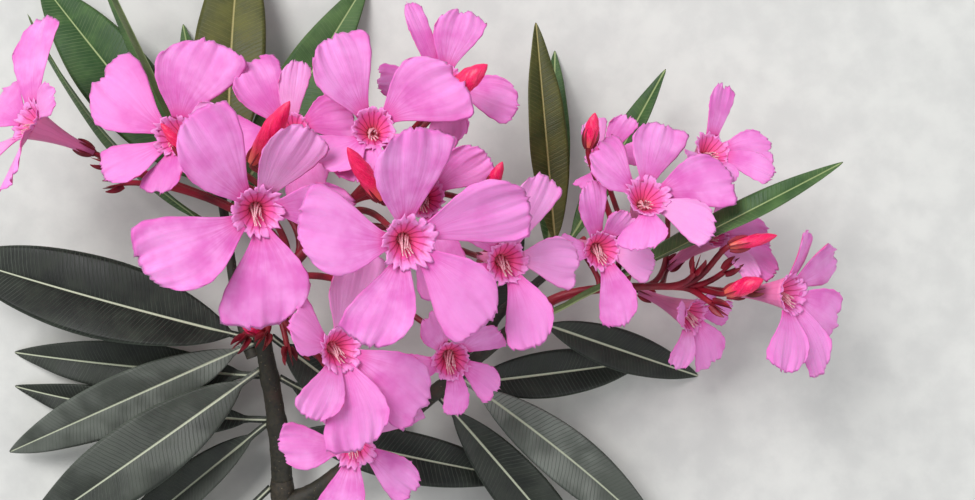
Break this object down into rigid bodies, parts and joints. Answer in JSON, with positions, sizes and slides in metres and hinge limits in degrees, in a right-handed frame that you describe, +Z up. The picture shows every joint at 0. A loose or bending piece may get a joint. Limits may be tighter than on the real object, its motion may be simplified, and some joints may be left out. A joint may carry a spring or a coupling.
{
  "type": "cut flowering oleander branch",
  "caption": "Cut branch of a pink-flowered oleander with two flower clusters, narrow leaves in whorls and young shoots, lying on its lower leaves.",
  "frame": {"origin": "centre of the flat cut face at the foot of the main stem", "axes": "-Y is the outward normal of the cut face, so the branch grows away along +Y; +X to the right seen from above; +Z up from the ground the branch lies on"},
  "size_m": [0.2631, 0.2609, 0.0998],
  "materials": {
    "bark": "thin grey-brown bark with fine pale pores",
    "green_stem": "smooth green young bark turning brown",
    "stalk": "smooth dark red flower stalks and buds",
    "leaf": "leathery dark grey-green leaf with a pale midrib",
    "young_leaf": "leathery young leaf in mid green with a pale midrib",
    "petal": "soft matt orchid-pink petals with fine veins"
  },
  "bodies": {
    "root": {"main_stem": "bark", "left_shoot": "green_stem", "right_shoot": "green_stem", "young_shoot_left": "green_stem", "young_shoot_right": "green_stem", "left_cluster_stalk": "stalk", "right_cluster_stalk": "stalk", "leaf_1": "leaf", "leaf_2": "leaf", "leaf_3": "leaf", "leaf_4": "leaf", "leaf_5": "leaf", "leaf_6": "leaf", "leaf_7": "leaf", "leaf_8": "leaf", "leaf_9": "leaf", "leaf_10": "leaf", "leaf_11": "leaf", "leaf_12": "leaf", "leaf_13": "leaf", "leaf_14": "leaf", "leaf_15": "leaf", "leaf_16": "leaf", "leaf_17": "leaf", "leaf_18": "leaf", "leaf_19": "leaf", "leaf_20": "leaf", "young_leaf_1": "young_leaf", "young_leaf_2": "young_leaf", "young_leaf_3": "young_leaf", "young_leaf_4": "young_leaf", "young_leaf_5": "young_leaf", "young_leaf_6": "young_leaf", "young_leaf_7": "young_leaf", "young_leaf_8": "young_leaf", "young_leaf_9": "young_leaf", "left_bloom_1": "petal", "left_bloom_2": "petal", "left_bloom_3": "petal", "left_bloom_4": "petal", "left_bloom_5": "petal", "left_bloom_6": "petal", "left_bloom_7": "petal", "left_bloom_8": "petal", "left_bloom_9": "petal", "left_bloom_10": "petal", "left_bloom_11": "petal", "left_bloom_12": "petal", "right_bloom_1": "petal", "right_bloom_2": "petal", "right_bloom_3": "petal", "right_bloom_4": "petal", "right_bloom_5": "petal", "right_bloom_6": "petal", "right_bloom_7": "petal"}
  },
  "joints": []
}
